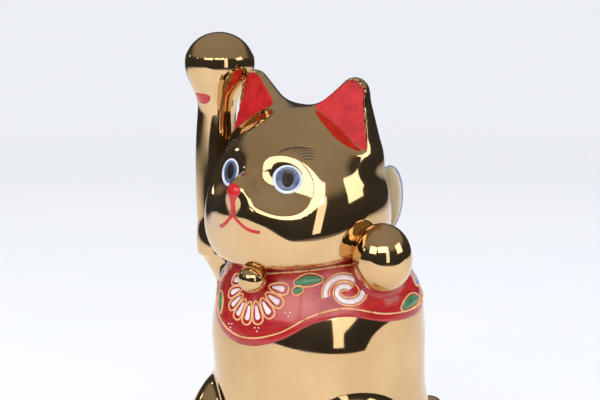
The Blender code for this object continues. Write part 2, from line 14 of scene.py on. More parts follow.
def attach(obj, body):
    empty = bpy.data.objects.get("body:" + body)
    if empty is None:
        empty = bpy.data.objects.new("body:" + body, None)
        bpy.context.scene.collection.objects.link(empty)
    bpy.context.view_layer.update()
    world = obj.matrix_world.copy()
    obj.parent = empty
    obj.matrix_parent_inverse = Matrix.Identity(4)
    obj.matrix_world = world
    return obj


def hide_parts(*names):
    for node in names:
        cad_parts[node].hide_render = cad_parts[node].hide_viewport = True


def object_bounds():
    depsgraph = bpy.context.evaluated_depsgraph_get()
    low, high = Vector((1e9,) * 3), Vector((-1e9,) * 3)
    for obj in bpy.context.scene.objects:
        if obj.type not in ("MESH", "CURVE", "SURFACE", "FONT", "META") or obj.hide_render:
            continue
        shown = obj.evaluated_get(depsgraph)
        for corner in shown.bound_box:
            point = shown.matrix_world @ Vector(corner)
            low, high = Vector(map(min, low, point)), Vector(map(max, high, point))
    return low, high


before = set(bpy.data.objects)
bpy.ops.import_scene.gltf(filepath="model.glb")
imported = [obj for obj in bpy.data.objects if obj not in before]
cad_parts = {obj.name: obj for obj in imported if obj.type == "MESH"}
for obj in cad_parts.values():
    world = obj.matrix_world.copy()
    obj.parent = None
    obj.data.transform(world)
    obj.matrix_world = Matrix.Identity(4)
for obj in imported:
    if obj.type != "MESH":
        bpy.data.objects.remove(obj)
CAD_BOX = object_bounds()

# Driving sizes
ENAMEL = 0.00045              # thickness of a flat layer of enamel
PIPING = 0.00060              # height of the piped lines
PIPE_WIDTH = 0.00095          # width of the lines along the bib and round the petals
FINE_PIPE = 0.00036           # half the width of the finer lines round leaves and blossoms
SINK = 0.0001                 # depth to which a layer's rim goes into what it lies on
THINNEST = 0.00002            # thickness that a layer keeps at its rim
TUCK = 0.00003                # a limb's skin lies this far under the body's where they run together
BIB_MEAN_RADIUS = 0.050       # turns lengths along the bib into angles
ARM_LOW = 0.142               # heights between which the raised forearm runs
ARM_HIGH = 0.222
BELL_CENTRE = (0.0006, -0.0557, 0.1375)    # under the chin, in front of the bib
BELL_RADIUS = 0.0073
BOW_HEIGHT = 0.1350           # centre of the bow's knot
BIB_MIDDLE = -5.0             # the bib's middle sits a little to the cat's right, in degrees
# Heights of the bib's lower and upper edge at angles from its middle
EDGE_ANGLES = (0, 22, 38, 55, 80, 105, 130, 155, 180)
LOW_EDGE = (0.1025, 0.1075, 0.1160, 0.1197, 0.1158, 0.1160, 0.1210, 0.1280, 0.1310)
TOP_EDGE = (0.1405, 0.1425, 0.1440, 0.1455, 0.1455, 0.1450, 0.1440, 0.1425, 0.1420)
# Angles at which the piped lines along the bib's edges are broken
UPPER_BREAKS = (-58, -30, 12, 31, 50, 74, 99, 124, 151, 177, 203, 228, 254, 281)
LOWER_BREAKS = (-64, 30, 38, 49, 66, 84, 104, 127, 150, 172, 195, 220, 243, 266)
EAR_RIM = 0.0014              # wall left round the hollow of an ear
EAR_FLOOR = -0.0205           # y of the hollow's flat floor, at the foot of the ear
EAR_FOOT = 0.2102             # height at which that hollow ends, at the middle of the ear
WINDOW_DISTANCE = 2.2         # from the middle of the cat to each window and lamp
TABLE_EDGE = 0.50             # distance of the table's near edge from the cat
SIDES = ((1.0, "left"), (-1.0, "right"))    # the sign of x on each side of the cat
VIEW_AZIMUTH = 38.0           # the camera stands this far round to the cat's left, in degrees
VIEW_ELEVATION = 10.0
VIEW_DISTANCE = 0.90
VIEW_WIDTH = 0.318            # width of the picture at the cat's axis


# ---- Shape fields: signed distances, negative inside ----

def ellipsoid(p, centre, radii):
    q = p - np.array(centre)
    r = np.array(radii)
    k0 = np.linalg.norm(q / r, axis=-1)
    k1 = np.linalg.norm(q / r ** 2, axis=-1)
    return k0 * (k0 - 1.0) / np.maximum(k1, 1e-9)


def limb(p, start, end, r_start, r_end):
    """Round cone from start to end."""
    start = np.array(start, float)
    axis = np.array(end, float) - start
    length2 = axis @ axis
    taper = r_start - r_end
    slope2 = length2 - taper * taper
    offset = p - start
    y = offset @ axis
    z = y - length2
    x2 = ((offset * length2 - y[..., None] * axis) ** 2).sum(-1)
    y2 = y * y * length2
    z2 = z * z * length2
    k = np.sign(taper) * taper * taper * x2
    side = (np.sqrt(x2 * slope2 / length2) + y * taper) / length2 - r_start
    far = np.sqrt(x2 + z2) / length2 - r_end
    near = np.sqrt(x2 + y2) / length2 - r_start
    d = np.where(np.sign(z) * slope2 * z2 > k, far, side)
    return np.where(np.sign(y) * slope2 * y2 < k, near, d)


def blend(a, b, k):
    """Smooth union with a fillet of about k."""
    h = np.clip(0.5 + 0.5 * (b - a) / k, 0.0, 1.0)
    return b * (1.0 - h) + a * h - k * h * (1.0 - h)


def carve(a, b, k):
    """Smooth difference: a without b."""
    return -blend(-a, b, k)


def mirrored(p):
    return np.stack([np.abs(p[..., 0]), p[..., 1], p[..., 2]], -1)


def torso(p):
    m = mirrored(p)
    f = limb(p, (0, 0.003, 0.045), (0, 0, 0.098), 0.0565, 0.0560)
    f = blend(f, limb(p, (0, 0, 0.108), (0, -0.006, 0.150), 0.048, 0.034), 0.016)
    f = blend(f, ellipsoid(m, (0.034, 0, 0.120), (0.022, 0.026, 0.021)), 0.012)
    f = blend(f, ellipsoid(p, (0, 0.010, 0.026), (0.059, 0.058, 0.044)), 0.020)
    f = blend(f, ellipsoid(m, (0.0375, -0.015, 0.036), (0.0265, 0.043, 0.0465)), 0.004)
    foot = limb(m, (0.027, -0.040, 0.014), (0.029, -0.060, 0.0125), 0.0165, 0.0140)
    return blend(f, foot, 0.004)


def body(p):
    """Torso with toes, standing on its flat foot."""
    m = mirrored(p)
    f = torso(p)
    for x in (0.0245, 0.0335):
        f = carve(f, limb(m, (x, -0.080, 0.024), (x, -0.072, 0.002), 0.0012, 0.0012), 0.003)
    return np.maximum(f, -p[..., 2])


def ear_shape(m):
    f = limb(m, (0.0255, -0.012, 0.198), (0.0330, -0.013, 0.2305), 0.0195, 0.0065)
    return blend(f, limb(m, (0.0128, -0.0160, 0.2062), (0.0322, -0.013, 0.2305), 0.0135, 0.0065), 0.004)


def ear_outline(m):
    """Outline of an ear as seen from the front, the same at every depth."""
    return ear_shape(np.stack([m[..., 0], np.full(m.shape[:-1], -0.013), m[..., 2]], -1))


def ear_floor(x, z):
    """The y of the flat floor of the hollow in an ear, for the ear on the +X side."""
    return EAR_FLOOR + 0.22 * (z - 0.205) + 0.25 * (x - 0.030)


def ear_foot(m):
    """Slanting lower end of the hollow in an ear, which follows the forehead: negative above it."""
    return EAR_FOOT - m[..., 2] - 0.70 * (m[..., 0] - 0.030)


def head(p):
    m = mirrored(p)
    f = ellipsoid(p, (0, -0.016, 0.182), (0.0430, 0.040, 0.0400))
    f = blend(f, ellipsoid(m, (0.019, -0.019, 0.1640), (0.0285, 0.036, 0.0310)), 0.016)
    f = blend(f, ellipsoid(p, (0, -0.037, 0.1580), (0.0330, 0.027, 0.0215)), 0.014)
    f = blend(f, ellipsoid(p, (0, 0.0035, 0.1600), (0.0345, 0.0365, 0.0300)), 0.012)
    under = 0.1472 + 0.06 * m[..., 0] + 0.11 * np.minimum(m[..., 1], -0.015)
    under = under - 0.35 * np.maximum(m[..., 1] + 0.010, 0.0)
    f = -blend(-f, p[..., 2] - under, 0.005)
    f = blend(f, ellipsoid(p, (0, -0.053, 0.172), (0.0185, 0.0165, 0.0160)), 0.012)
    skull = blend(f, ellipsoid(p, (0, -0.063, 0.184), (0.0060, 0.0070, 0.0060)), 0.008)
    f = blend(skull, ear_shape(m), 0.008)
    dish = -blend(-ear_outline(m) - EAR_RIM, ear_floor(m[..., 0], m[..., 2]) - m[..., 1], 0.0020)
    dish = -blend(-dish, skull - 0.0002, 0.0012)
    dish = -blend(-dish, -ear_foot(m), 0.0030)
    f = carve(f, dish, 0.0016)
    return carve(f, ellipsoid(m, (0.0255, -0.0610, 0.190), (0.017, 0.0115, 0.0125)), 0.008)


def raised_arm(p):
    t = np.clip((p[..., 2] - ARM_LOW) / (ARM_HIGH - ARM_LOW), -0.2, 1.2)
    across = p[..., 0] + 0.0560 + 0.0193 * t - 0.0163 * t * t
    along = p[..., 1] + 0.0080 + 0.0040 * t
    f = np.hypot(across, along) - (0.0158 - 0.0100 * t + 0.0044 * t * t)
    f = np.maximum(f, np.maximum(ARM_LOW - 0.004 - p[..., 2], p[..., 2] - ARM_HIGH - 0.014))
    f = blend(f, limb(p, (-0.038, -0.001, 0.118), (-0.0560, -0.008, 0.142), 0.0190, 0.0158), 0.006)
    return blend(f, ellipsoid(p, (-0.0570, -0.013, 0.240), (0.0185, 0.0180, 0.0165)), 0.012)


def left_arm(p):
    f = limb(p, (0.038, 0.000, 0.134), (0.0545, -0.017, 0.1450), 0.0115, 0.0115)
    return blend(f, ellipsoid(p, (0.0562, -0.0215, 0.1498), (0.0150, 0.0150, 0.0175)), 0.005)


def tail(p):
    f = limb(p, (0.006, 0.066, 0.011), (0.026, 0.068, 0.014), 0.010, 0.010)
    f = blend(f, limb(p, (0.026, 0.068, 0.014), (0.036, 0.062, 0.030), 0.010, 0.009), 0.004)
    return blend(f, limb(p, (0.036, 0.062, 0.030), (0.030, 0.063, 0.046), 0.009, 0.008), 0.004)


# ---- Meshes ----

def gradient(field, p, h=2e-5):
    return np.stack([field(p + s) - field(p - s) for s in h * np.eye(3)], -1) / (2.0 * h)


def normals(field, p):
    g = gradient(field, p)
    return g / np.maximum(np.linalg.norm(g, axis=-1, keepdims=True), 1e-9)


def settle(field, p, level=0.0, rounds=10):
    """Move points along the gradient until field(p) = level."""
    p = np.array(p, float)
    for _ in range(rounds):
        g = gradient(field, p)
        move = (field(p) - level) / np.maximum((g * g).sum(-1), 0.05)
        p -= np.clip(move, -0.004, 0.004)[..., None] * g
    return p


def surface_net(field, low, high, cell):
    """Closed quad mesh of field = 0, with one vertex in each grid cell that the surface crosses."""
    axes = [np.arange(a, b + cell, cell) for a, b in zip(low, high)]
    grid = np.stack(np.meshgrid(*axes, indexing="ij"), -1)
    value = field(grid)
    inside = value < 0.0
    nx, ny, nz = value.shape
    corners = [(i, j, k) for i in (0, 1) for j in (0, 1) for k in (0, 1)]

    def corner(array, c):
        return array[c[0]:nx - 1 + c[0], c[1]:ny - 1 + c[1], c[2]:nz - 1 + c[2]]

    count = sum(corner(inside, c).astype(int) for c in corners)
    active = (count > 0) & (count < 8)
    total = np.zeros((int(active.sum()), 3))
    hits = np.zeros(len(total))
    for a in corners:
        for b in corners:
            if a < b and sum(abs(x - y) for x, y in zip(a, b)) == 1:
                va, vb = corner(value, a)[active], corner(value, b)[active]
                cross = (va < 0.0) != (vb < 0.0)
                t = np.where(cross, va / np.where(cross, va - vb, 1.0), 0.0)[:, None]
                point = corner(grid, a)[active] * (1.0 - t) + corner(grid, b)[active] * t
                total += np.where(cross[:, None], point, 0.0)
                hits += cross
    index = np.full(active.shape, -1)
    index[active] = np.arange(len(total))
    points = total / hits[:, None]
    faces = []
    for axis in range(3):
        u, v = (axis + 1) % 3, (axis + 2) % 3
        first = np.take(inside, range(value.shape[axis] - 1), axis=axis)
        second = np.take(inside, range(1, value.shape[axis]), axis=axis)
        at = np.argwhere(first != second)
        leaving = first[first != second]
        ring = []
        for du, dv in ((-1, -1), (0, -1), (0, 0), (-1, 0)):
            near = at.copy()
            near[:, u] += du
            near[:, v] += dv
            ring.append(index[near[:, 0], near[:, 1], near[:, 2]])
        ring = np.stack(ring, -1)
        ring[~leaving] = ring[~leaving][:, ::-1]
        faces.append(ring)
    faces = np.concatenate(faces)
    for _ in range(2):
        points = relax(points, faces)
        points = settle(field, points, rounds=3)
    return points, faces


def relax(points, faces):
    """Even the spacing of the vertices: each moves halfway to the mean of its faces' centres."""
    centres = points[faces].mean(axis=1)
    total = np.zeros_like(points)
    count = np.zeros(len(points))
    for k in range(4):
        np.add.at(total, faces[:, k], centres)
        np.add.at(count, faces[:, k], 1.0)
    return 0.5 * points + 0.5 * total / count[:, None]


def add_piece(name, points, faces, finish, node=None, vertex_normals=None):
    mesh = bpy.data.meshes.new(name)
    mesh.from_pydata(np.asarray(points, float).tolist(), [], [tuple(map(int, f)) for f in faces])
    mesh.materials.append(finish)
    mesh.update()
    mesh.shade_smooth()
    if vertex_normals is not None:
        shading = mesh.attributes.new("custom_normal", "FLOAT_VECTOR", "POINT")
        shading.data.foreach_set("vector", np.asarray(vertex_normals, "f").ravel())
        mesh.update()
    obj = bpy.data.objects.new(name, mesh)
    bpy.context.scene.collection.objects.link(obj)
    if node:
        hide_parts(node)
    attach(obj, "root")
    return obj


def casting(name, field, low, high, cell, finish, node=None):
    """Fine skin of a shape field, shaded with the field's own normals."""
    points, faces = surface_net(field, low, high, cell)
    return add_piece(name, points, faces, finish, node, normals(field, points))


def strip_faces(stations, across, loop):
    """Faces of a closed strip made of a top grid followed by a bottom grid."""
    faces = []
    size = stations * across
    for i in range(stations if loop else stations - 1):
        a, b = i * across, ((i + 1) % stations) * across
        for j in range(across - 1):
            faces.append((a + j, b + j, b + j + 1, a + j + 1))
            faces.append((size + a + j + 1, size + b + j + 1, size + b + j, size + a + j))
        end = across - 1
        faces.append((a, size + a, size + b, b))
        faces.append((b + end, size + b + end, size + a + end, a + end))
    if not loop:
        for a, flip in ((0, False), ((stations - 1) * across, True)):
            for j in range(across - 1):
                face = (a + j, a + j + 1, size + a + j + 1, size + a + j)
                faces.append(face[::-1] if flip else face)
    return faces


def point_outwards(obj):
    bm = bmesh.new()
    bm.from_mesh(obj.data)
    bmesh.ops.recalc_face_normals(bm, faces=bm.faces[:])
    bm.to_mesh(obj.data)
    bm.free()


def relief(name, field, rows, height, finish, node=None, loop=False, lift=0.0, edge=0.0):
    """Raised layer over a strip of surface points: round in section, and sunk a little at its rim.

    edge is the share of the height that the rim keeps, and lift is the height of what lies below.
    """
    rows = np.array(rows, float)
    stations, across = rows.shape[:2]
    base = settle(field, rows, lift - SINK)
    out = normals(field, base)
    t = np.linspace(-1.0, 1.0, across)
    share = edge + (1.0 - edge) * np.sqrt(np.maximum(1.0 - t ** 2, 0.0))
    rise = np.broadcast_to(share * (height + SINK), (stations, across)).copy()
    if not loop:
        rise[0] *= 0.4
        rise[-1] *= 0.4
    rise = np.maximum(rise, THINNEST)
    top = base + out * rise[..., None]
    points = np.concatenate([top.reshape(-1, 3), base.reshape(-1, 3)])
    obj = add_piece(name, points, strip_faces(stations, across, loop), finish, node)
    point_outwards(obj)
    return obj


def dome_piece(name, field, centre, across, up, radii, height, finish, node=None, lift=0.0, segments=32):
    """Oval drop of enamel, settled on a surface."""
    centre, across, up = (np.array(v, float) for v in (centre, across, up))
    a = 2.0 * math.pi * np.arange(segments) / segments
    shares = (1.0, 0.97, 0.85, 0.6, 0.3)
    oval = radii[0] * np.cos(a)[:, None] * across + radii[1] * np.sin(a)[:, None] * up
    points = np.concatenate([centre + s * oval for s in shares] + [centre[None]])
    base = settle(field, points, lift - SINK)
    out = normals(field, base)
    rise = [THINNEST if s == 1.0 else (height + SINK) * math.sqrt(1.0 - s ** 4) for s in shares]
    rise = np.concatenate([np.repeat(rise, segments), [height + SINK]])
    points = base + out * rise[:, None]
    size = len(points)
    faces = []
    for r in range(len(shares) - 1):
        for i in range(segments):
            j = (i + 1) % segments
            faces.append((r * segments + i, r * segments + j, (r + 1) * segments + j, (r + 1) * segments + i))
    last = (len(shares) - 1) * segments
    faces += [(last + i, last + (i + 1) % segments, size - 1) for i in range(segments)]
    points = np.concatenate([points, base[:segments] - out[:segments] * 0.0003])
    for i in range(segments):
        j = (i + 1) % segments
        faces.append((size + i, size + j, j, i))
    faces.append(tuple(size + i for i in reversed(range(segments))))
    obj = add_piece(name, points, faces, FINISH[finish], node)
    point_outwards(obj)
    return obj


def edge_height(angle, heights):
    """Height of a bib edge at an angle in degrees, smooth and the same on both sides of its middle."""
    a = np.abs((np.asarray(angle, float) - BIB_MIDDLE + 180.0) % 360.0 - 180.0)
    i = np.clip(np.searchsorted(EDGE_ANGLES, a, side="right") - 1, 0, len(EDGE_ANGLES) - 2)
    x = np.array(EDGE_ANGLES, float)
    y = np.array(heights)
    slope = np.gradient(y, x)
    slope[0] = slope[-1] = 0.0
    h = x[i + 1] - x[i]
    t = (a - x[i]) / h
    rise = (2 * t ** 3 - 3 * t ** 2 + 1) * y[i] + (3 * t ** 2 - 2 * t ** 3) * y[i + 1]
    return rise + h * ((t ** 3 - 2 * t ** 2 + t) * slope[i] + (t ** 3 - t ** 2) * slope[i + 1])


def chest(angle, height):
    """Point of the body surface at an angle (degrees) and height, found along a level ray."""
    angle, height = np.broadcast_arrays(np.radians(angle), np.asarray(height, float))
    radius = np.full(angle.shape, BIB_MEAN_RADIUS)
    for _ in range(24):
        p = np.stack([radius * np.sin(angle), -radius * np.cos(angle), height], -1)
        radius = radius - 0.8 * torso(p)
    return np.stack([radius * np.sin(angle), -radius * np.cos(angle), height], -1)


def path_strip(path, half_widths, across, loop):
    """Flat strip (n, across, 2) along a path in the plane."""
    path = np.array(path, float)
    if loop:
        ahead = np.roll(path, -1, axis=0) - np.roll(path, 1, axis=0)
    else:
        ahead = np.gradient(path, axis=0)
    ahead /= np.maximum(np.linalg.norm(ahead, axis=1, keepdims=True), 1e-9)
    side = np.stack([-ahead[:, 1], ahead[:, 0]], -1)
    t = np.linspace(1.0, -1.0, across)
    widths = np.broadcast_to(half_widths, len(path))
    return path[:, None, :] + side[:, None, :] * (t[None, :] * widths[:, None])[..., None]


def chest_strip(centre, path, half_widths, across=7, loop=False):
    """Strip on the bib: path points (u, v) in metres about centre (angle, height)."""
    uv = path_strip(path, half_widths, across, loop)
    angle = centre[0] + np.degrees(uv[..., 0] / BIB_MEAN_RADIUS)
    return chest(angle, centre[1] + uv[..., 1])


def spline(points, count, closed=False):
    """Catmull-Rom curve through points, at count places."""
    points = np.array(points, float)
    n = len(points)
    t = np.linspace(0.0, n if closed else n - 1, count, endpoint=not closed)
    i = np.minimum(t.astype(int), n - 1 if closed else n - 2)
    f = (t - i)[:, None]
    if closed:
        a, b, c, d = (points[(i + k) % n] for k in (-1, 0, 1, 2))
    else:
        a, b, c, d = (points[np.clip(i + k, 0, n - 1)] for k in (-1, 0, 1, 2))
    return 0.5 * (2 * b + (c - a) * f + (2 * a - 5 * b + 4 * c - d) * f ** 2
                  + (3 * b - a - 3 * c + d) * f ** 3)


def leaf_widths(count, half_width, blunt=0.1):
    t = np.linspace(0.0, 1.0, count)
    return half_width * np.maximum(np.sin(math.pi * t) ** 0.7, blunt)


def line_between(start, end, count, bow=0.0):
    t = np.linspace(0.0, 1.0, count)[:, None]
    start, end = np.array(start), np.array(end)
    across = np.array([start[1] - end[1], end[0] - start[0]])
    return start * (1 - t) + end * t + bow * across * np.sin(math.pi * t)


# ---- Materials ----

def new_finish(name, colour, roughness, metallic=0.0, coat=0.0):
    """Material with constant shader values, its node tree, its shader and the object's coordinates."""
    mat = bpy.data.materials.new(name)
    mat.use_nodes = True
    nodes = mat.node_tree.nodes
    shader = nodes["Principled BSDF"]
    shader.inputs["Base Color"].default_value = tuple(colour) + (1.0,)
    shader.inputs["Roughness"].default_value = roughness
    shader.inputs["Metallic"].default_value = metallic
    shader.inputs["Coat Weight"].default_value = coat
    shader.inputs["Coat Roughness"].default_value = 0.04
    place = nodes.new("ShaderNodeTexCoord")
    return mat, mat.node_tree, shader, place.outputs["Object"]


def noise(tree, place, scale, detail=3.0, rough=0.5):
    """Noise value about 0.5, with scale in cells per metre."""
    node = tree.nodes.new("ShaderNodeTexNoise")
    node.inputs["Scale"].default_value = scale
    node.inputs["Detail"].default_value = detail
    node.inputs["Roughness"].default_value = rough
    tree.links.new(place, node.inputs["Vector"])
    return node.outputs["Fac"]


def ramp(tree, value, low, high, at=(0.3, 0.7)):
    """Colour between low and high as the value runs over at."""
    node = tree.nodes.new("ShaderNodeValToRGB")
    for stop, colour, place in zip(node.color_ramp.elements, (low, high), at):
        stop.color = tuple(colour) + (1.0,)
        stop.position = place
    tree.links.new(value, node.inputs["Fac"])
    return node.outputs["Color"]


def spread(tree, value, low, high, at=(0.3, 0.7)):
    """Number between low and high as the value runs over at."""
    node = tree.nodes.new("ShaderNodeMapRange")
    node.inputs["From Min"].default_value = at[0]
    node.inputs["From Max"].default_value = at[1]
    node.inputs["To Min"].default_value = low
    node.inputs["To Max"].default_value = high
    tree.links.new(value, node.inputs["Value"])
    return node.outputs["Result"]


def mix(tree, fac, a, b):
    """Colour between a and b; each of them is a socket or a constant colour."""
    node = tree.nodes.new("ShaderNodeMix")
    node.data_type = "RGBA"
    tree.links.new(fac, node.inputs[0])
    for value, socket in ((a, node.inputs[6]), (b, node.inputs[7])):
        if isinstance(value, bpy.types.NodeSocket):
            tree.links.new(value, socket)
        else:
            socket.default_value = tuple(value) + (1.0,)
    return node.outputs[2]


def bump(tree, shader, height, distance):
    node = tree.nodes.new("ShaderNodeBump")
    node.inputs["Distance"].default_value = distance
    tree.links.new(height, node.inputs["Height"])
    tree.links.new(node.outputs["Normal"], shader.inputs["Normal"])


def gold_lustre():
    """Fired gold over glaze: mirror bright, with slow waviness, brush clouds and a few thin spots."""
    mat, tree, shader, place = new_finish("gold_lustre_finish", (0.76, 0.50, 0.24), 0.05, 1.0)
    clouds = noise(tree, place, 28.0, 4.0, 0.55)
    colour = ramp(tree, clouds, (0.66, 0.42, 0.20), (0.76, 0.52, 0.27))
    thin = spread(tree, noise(tree, place, 420.0, 2.0, 0.7), 0.0, 1.0, (0.70, 0.78))
    colour = mix(tree, thin, colour, (0.62, 0.33, 0.16))
    tree.links.new(colour, shader.inputs["Base Color"])
    rough = spread(tree, noise(tree, place, 60.0, 5.0, 0.6), 0.035, 0.085)
    tree.links.new(rough, shader.inputs["Roughness"])
    bump(tree, shader, noise(tree, place, 55.0, 2.0, 0.4), 0.00006)
    return mat


def enamel(name, dark, light, roughness=0.16, scale=140.0, grain=0.00006, gloss=1.0):
    """Overglaze enamel: glossy, thicker and darker in places, with fine pitting."""
    mat, tree, shader, place = new_finish(name, light, roughness, 0.0, 0.35 * gloss)
    shader.inputs["Specular IOR Level"].default_value = 0.5 * gloss
    colour = ramp(tree, noise(tree, place, scale, 4.0, 0.6), dark, light)
    tree.links.new(colour, shader.inputs["Base Color"])
    rough = spread(tree, noise(tree, place, 300.0, 3.0), roughness * 0.7, roughness * 1.7)
    tree.links.new(rough, shader.inputs["Roughness"])
    bump(tree, shader, noise(tree, place, 380.0, 3.0, 0.6), grain)
    return mat


def bib_red():
    """Brushed red enamel, with two paler pink patches that are painted glare highlights."""
    mat, tree, shader, place = new_finish("bib_red_finish", (0.42, 0.010, 0.012), 0.18, 0.0, 0.4)
    streaks = tree.nodes.new("ShaderNodeMapping")
    streaks.inputs["Scale"].default_value = (1.0, 1.0, 3.2)
    tree.links.new(place, streaks.inputs["Vector"])
    brushed = noise(tree, streaks.outputs["Vector"], 90.0, 6.0, 0.65)
    colour = ramp(tree, brushed, (0.30, 0.006, 0.010), (0.52, 0.020, 0.016))
    # Painted highlight: two round paler pink patches stand for the glare of the windows on the glossy red
    # enamel.
    for centre, radius in (((0.023, -0.045, 0.124), 0.012), ((0.034, -0.030, 0.139), 0.009)):
        away = tree.nodes.new("ShaderNodeVectorMath")
        away.operation = "DISTANCE"
        away.inputs[1].default_value = centre
        tree.links.new(place, away.inputs[0])
        painted_glare = spread(tree, away.outputs["Value"], 0.42, 0.0, (0.0, radius))
        colour = mix(tree, painted_glare, colour, (0.75, 0.28, 0.24))
    tree.links.new(colour, shader.inputs["Base Color"])
    tree.links.new(spread(tree, noise(tree, place, 260.0, 3.0), 0.12, 0.30), shader.inputs["Roughness"])
    bump(tree, shader, brushed, 0.00012)
    return mat


FINISH = {
    "gold": gold_lustre(),
    "bib": bib_red(),
    "red": enamel("red_finish", (0.40, 0.006, 0.010), (0.62, 0.020, 0.022)),
    "ear": enamel("ear_red_finish", (0.38, 0.005, 0.008), (0.60, 0.018, 0.022), 0.24, 120.0, gloss=0.35),
    "peach": enamel("piping_finish", (0.72, 0.34, 0.13), (0.92, 0.56, 0.28), 0.22, 260.0),
    "white": enamel("white_finish", (0.72, 0.55, 0.58), (0.90, 0.84, 0.84), 0.18),
    "green": enamel("green_finish", (0.035, 0.15, 0.06), (0.10, 0.30, 0.16)),
    "blue": enamel("blue_finish", (0.16, 0.20, 0.42), (0.36, 0.42, 0.68)),
    "ring": enamel("eye_ring_finish", (0.50, 0.56, 0.72), (0.82, 0.86, 0.95)),
    "iris": enamel("iris_finish", (0.03, 0.05, 0.09), (0.15, 0.19, 0.30), 0.10, 300.0),
    "dark": enamel("dark_line_finish", (0.012, 0.010, 0.012), (0.05, 0.035, 0.03), 0.12),
    "brow": enamel("brow_finish", (0.025, 0.012, 0.006), (0.07, 0.035, 0.015), 0.30, 500.0),
    "cream": enamel("cream_finish", (0.62, 0.55, 0.36), (0.82, 0.77, 0.58), 0.14, 60.0),
}


# ---- Castings ----

def build_castings():
    """Body, head, arms and tail; a limb runs on a little under the body's skin and is cut off there."""
    gold = FINISH["gold"]
    casting("body_glazed", body, (-0.074, -0.084, -0.004), (0.074, 0.076, 0.190), 0.0022, gold,
            "body_casting")
    casting("head_glazed", head, (-0.056, -0.080, 0.128), (0.056, 0.050, 0.244), 0.0016, gold,
            "head_casting")

    def raised(p):
        return np.maximum(blend(raised_arm(p), torso(p), 0.006) + TUCK,
                          np.maximum(-torso(p) - 0.003, raised_arm(p) - 0.008))

    def left(p):
        return np.maximum(left_arm(p), -torso(p) - 0.002)

    def collar(p):
        """Red fillet that climbs from the bib onto the foot of the left arm."""
        chest_skin = torso(p)
        skin = blend(left_arm(p), chest_skin - ENAMEL, 0.006)
        limits = np.maximum(chest_skin - 0.0030, -chest_skin - 0.002)
        return np.maximum(skin, np.maximum(limits, left_arm(p) - 0.0035))

    def back_tail(p):
        return np.maximum(np.maximum(blend(tail(p), torso(p), 0.003) + TUCK, -p[..., 2]),
                          np.maximum(-torso(p) - 0.003, tail(p) - 0.006))

    casting("raised_arm_glazed", raised, (-0.082, -0.040, 0.094), (-0.016, 0.026, 0.262), 0.0015, gold,
            "raised_arm_casting")
    casting("left_arm_glazed", left, (0.022, -0.044, 0.096), (0.078, 0.022, 0.174), 0.0013, gold,
            "left_arm_casting")
    casting("left_arm_collar", collar, (0.022, -0.044, 0.100), (0.078, 0.022, 0.160), 0.0011, FINISH["bib"])
    casting("tail_glazed", back_tail, (-0.012, 0.044, -0.004), (0.056, 0.084, 0.062), 0.0015, gold,
            "tail_casting")


def build_bib():
    """Red layer round the neck, with a piped line along each edge that is broken here and there."""
    angles = np.arange(0, 360, 1.5)
    low = edge_height(angles, LOW_EDGE)
    top = edge_height(angles, TOP_EDGE)
    t = np.linspace(1.0, 0.0, 23)
    rows = chest(angles[:, None], low[:, None] + (top - low)[:, None] * t[None, :])
    relief("bib_red_layer", torso, rows, ENAMEL, FINISH["bib"], "bib_enamel", loop=True, edge=0.75)
    angles = np.arange(0, 360, 0.6)
    for name, edge, shift, breaks in (("upper", TOP_EDGE, -0.0022, UPPER_BREAKS),
                                      ("lower", LOW_EDGE, 0.0040, LOWER_BREAKS)):
        height = edge_height(angles, edge) + shift
        apart = np.abs((angles[:, None] - np.array(breaks) + 180.0) % 360.0 - 180.0).min(axis=1)
        width = PIPE_WIDTH * np.clip(apart / 0.9, 0.12, 1.0)
        width = width * (1.0 + 0.12 * np.sin(np.radians(angles * 17.0)))
        rows = chest(angles[:, None], height[:, None] + np.linspace(0.5, -0.5, 7)[None, :] * width[:, None])
        relief("bib_%s_piping" % name, torso, rows, PIPING, FINISH["peach"], "bib_%s_line" % name, loop=True,
               lift=ENAMEL)


def on_bib(name, strip, height, finish, node=None, loop=False):
    return relief(name, torso, strip, height, FINISH[finish], node, loop=loop, lift=ENAMEL)


def build_chrysanthemum():
    """Nine petals fanned under the bell, each a piped outline round a white stroke."""
    centre = (-4.0, 0.1335)
    inner, outer = 0.0092, 0.0205
    for n in range(9):
        a = math.radians(-86.0 + 21.5 * n)
        away = np.array([math.sin(a), -math.cos(a)])
        side = np.array([away[1], -away[0]])
        t = np.arange(48) / 48.0 * 2.0 * math.pi
        reach = 0.5 * (inner + outer) - 0.5 * (outer - inner) * np.cos(t)
        half = 0.0031 * np.sign(np.sin(t)) * np.abs(np.sin(t)) ** 0.8 * (reach / 0.0175)
        loop = reach[:, None] * away + half[:, None] * side
        on_bib("petal_%d_piping" % (n + 1), chest_strip(centre, loop, 0.5 * PIPE_WIDTH, 7, True), PIPING,
               "peach", "petal_outline_%d" % (n + 1), True)
        path = line_between(away * (inner + 0.0018), away * (outer - 0.0022), 18, 0.03 * math.sin(5.0 * n))
        t = np.linspace(0.0, 1.0, 18)
        ends = np.sqrt(np.clip((1.02 - t) * 6.0, 0.0, 1.0)) * np.clip(t * 12.0, 0.3, 1.0)
        widths = (0.0006 + 0.0012 * t) * ends
        on_bib("petal_%d_white" % (n + 1), chest_strip(centre, path, widths), 0.0006, "white",
               "petal_white_%d" % (n + 1))


def build_swirls():
    turn = np.linspace(0.0, 1.0, 90)
    for label, angle, side in (("left", 54.0, 1.0), ("right", -77.0, -1.0)):
        centre = (angle, 0.1315)
        a = 2.0 * math.pi * (0.1 + 1.45 * turn)
        spiral = 0.0022 + 0.0072 * turn
        path = np.stack([side * spiral * np.cos(a) * 1.2, spiral * np.sin(a) * 0.85], -1)
        on_bib("swirl_%s_white" % label, chest_strip(centre, path, 0.0013), 0.0007, "white",
               "swirl_white_" + label)
        for column, kind in ((0, "outer"), (1, "inner")):
            rim = path_strip(path, 0.0019, 2, False)[:, column]
            on_bib("swirl_%s_piping_%s" % (label, kind), chest_strip(centre, rim, 0.0004), PIPING, "peach")


